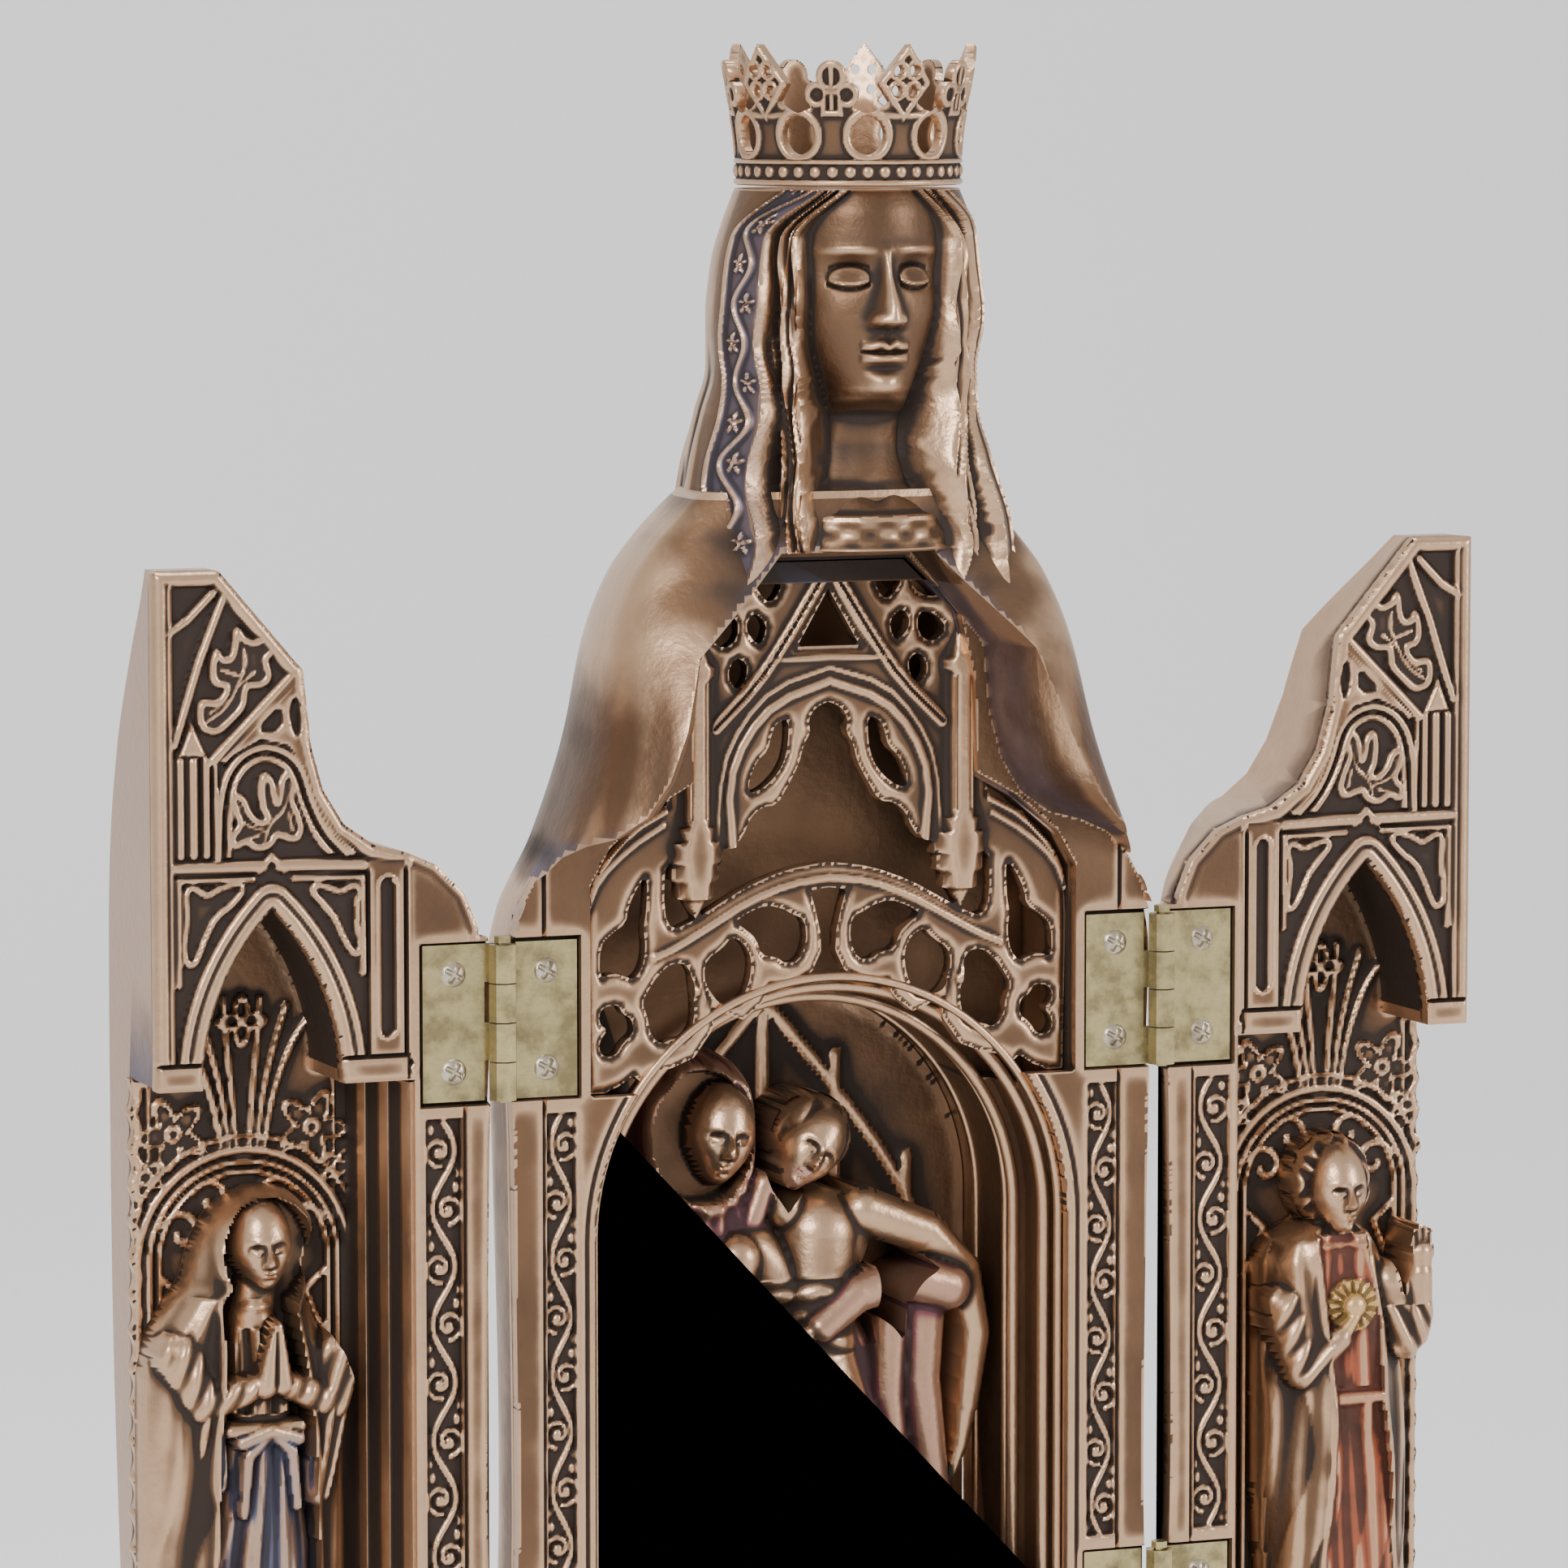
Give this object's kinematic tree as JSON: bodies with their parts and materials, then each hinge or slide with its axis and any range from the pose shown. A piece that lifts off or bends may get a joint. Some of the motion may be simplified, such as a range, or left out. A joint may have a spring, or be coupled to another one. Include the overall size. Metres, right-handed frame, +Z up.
{
  "type": "opening shrine statue",
  "caption": "Crowned, draped figure whose hinged front doors open on a niche with a seated group behind a pierced screen; each door holds a standing figure. Stands on a plinth.",
  "frame": {"origin": "middle of the plinth's underside, on the line of the niche's front face", "axes": "+Z up through the crown; -Y is the way the figure faces; +X to the viewer's right"},
  "size_m": [0.1636, 0.0688, 0.2681],
  "materials": {
    "antique_bronze": "cold-cast resin with bronze powder, dark patina, rubbed copper edges, colour washes on the robes",
    "hinge_brass": "aged, greenish, satin",
    "screw_steel": "nickel-plated, tarnished"
  },
  "bodies": {
    "shrine": {"statue_body": "antique_bronze", "crown": "antique_bronze", "tracery_screen": "antique_bronze", "pieta_group": "antique_bronze", "left_upper_hinge_body_leaf": "hinge_brass", "left_upper_hinge_body_screw_1": "screw_steel", "left_upper_hinge_body_screw_2": "screw_steel", "left_upper_hinge_pin": "hinge_brass", "left_lower_hinge_body_leaf": "hinge_brass", "left_lower_hinge_body_screw_1": "screw_steel", "left_lower_hinge_body_screw_2": "screw_steel", "left_lower_hinge_pin": "hinge_brass", "right_upper_hinge_body_leaf": "hinge_brass", "right_upper_hinge_body_screw_1": "screw_steel", "right_upper_hinge_body_screw_2": "screw_steel", "right_upper_hinge_pin": "hinge_brass", "right_lower_hinge_body_leaf": "hinge_brass", "right_lower_hinge_body_screw_1": "screw_steel", "right_lower_hinge_body_screw_2": "screw_steel", "right_lower_hinge_pin": "hinge_brass"},
    "left_wing": {"left_door": "antique_bronze", "praying_figure": "antique_bronze", "left_upper_hinge_door_leaf": "hinge_brass", "left_upper_hinge_door_screw_1": "screw_steel", "left_upper_hinge_door_screw_2": "screw_steel", "left_lower_hinge_door_leaf": "hinge_brass", "left_lower_hinge_door_screw_1": "screw_steel", "left_lower_hinge_door_screw_2": "screw_steel"},
    "right_wing": {"right_door": "antique_bronze", "blessing_figure": "antique_bronze", "right_upper_hinge_door_leaf": "hinge_brass", "right_upper_hinge_door_screw_1": "screw_steel", "right_upper_hinge_door_screw_2": "screw_steel", "right_lower_hinge_door_leaf": "hinge_brass", "right_lower_hinge_door_screw_1": "screw_steel", "right_lower_hinge_door_screw_2": "screw_steel"}
  },
  "joints": [
    {"name": "left_door_hinge", "type": "hinge", "parent": "shrine", "child": "left_wing", "pos_m": [-0.0411, -0.0005, 0.1192], "axis": [0, 0, 1], "range_deg": [-15, 180]},
    {"name": "right_door_hinge", "type": "hinge", "parent": "shrine", "child": "right_wing", "pos_m": [0.0411, -0.0005, 0.1192], "axis": [0, 0, -1], "range_deg": [-15, 180]}
  ]
}
